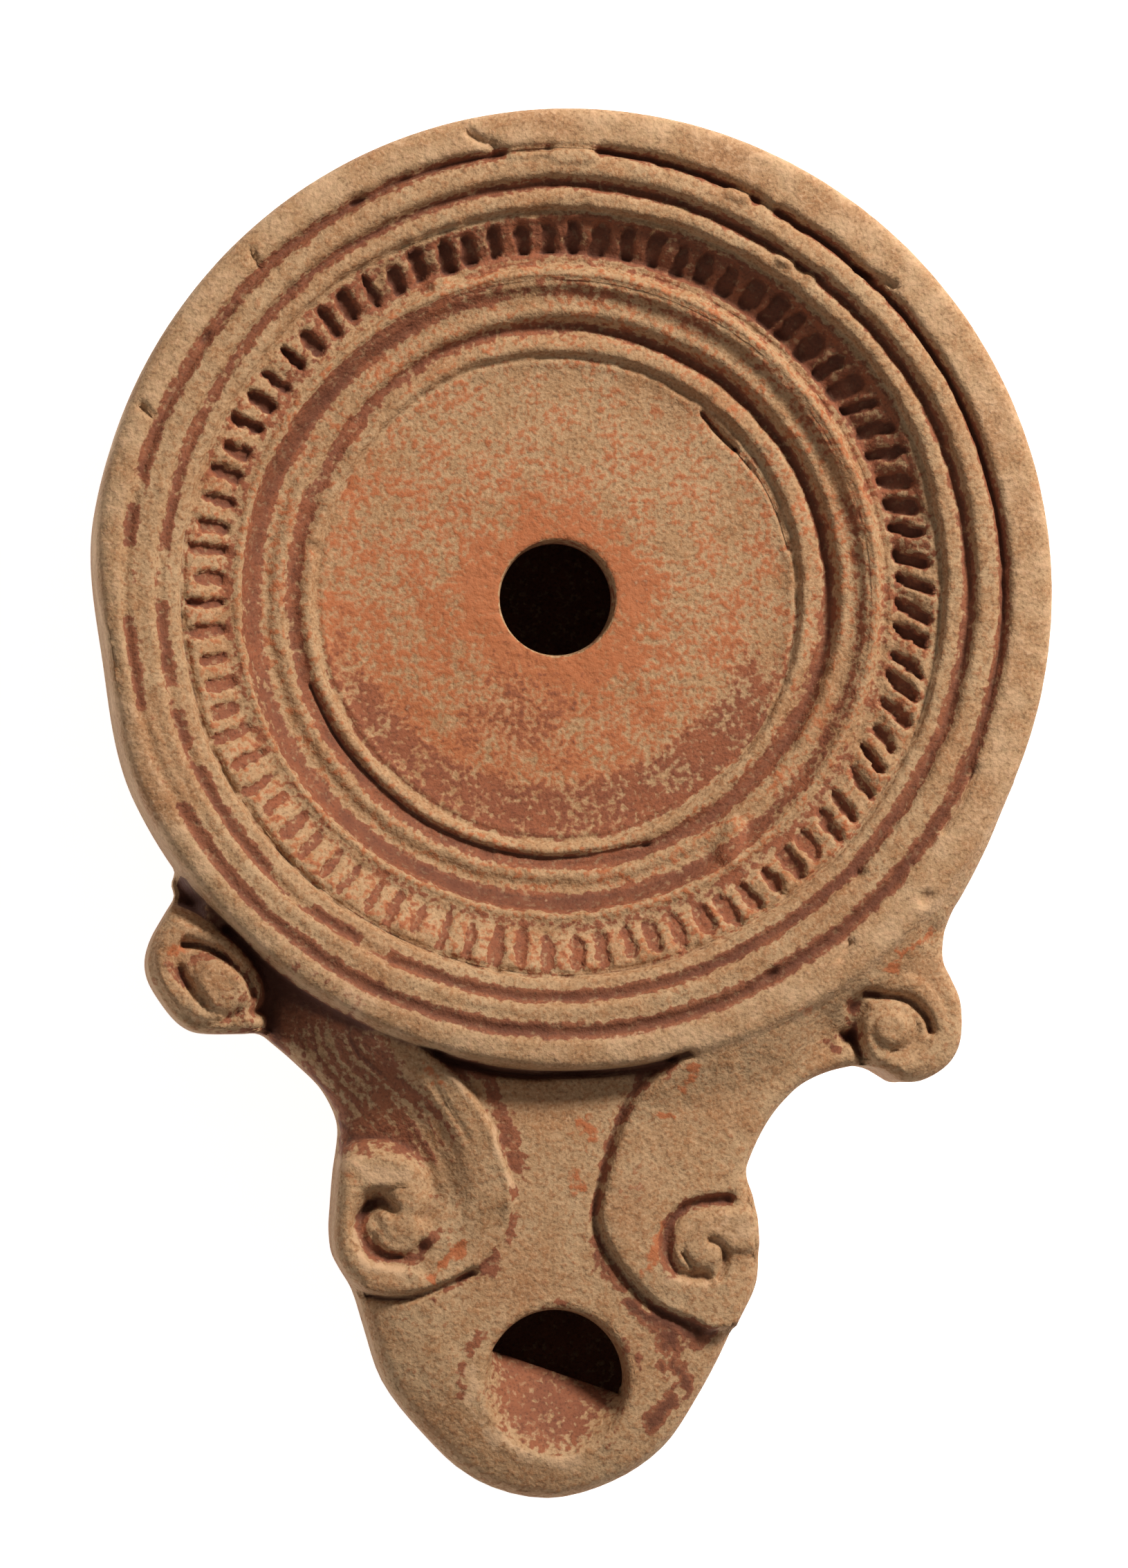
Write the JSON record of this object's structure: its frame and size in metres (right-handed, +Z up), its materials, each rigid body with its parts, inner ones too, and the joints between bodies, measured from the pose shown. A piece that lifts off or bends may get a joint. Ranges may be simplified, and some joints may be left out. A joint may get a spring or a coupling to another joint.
{
  "type": "roman oil lamp",
  "caption": "Mould-made terracotta oil lamp: round hollow body with a ringed sunken discus, a border of tongues and a double-volute nozzle with a rounded tip.",
  "frame": {"origin": "centre of the flat base, on the surface that the lamp stands on, under the centre of the discus", "axes": "+Z up; -Y along the nozzle towards the wick hole, +Y towards the back of the body; +X to the right seen from above with the nozzle pointing down"},
  "size_m": [0.0719, 0.104, 0.027],
  "materials": {
    "terracotta": "matt buff fired clay with worn red-brown slip left in the hollows"
  },
  "bodies": {
    "root": {"lamp_body": "terracotta"}
  },
  "joints": []
}
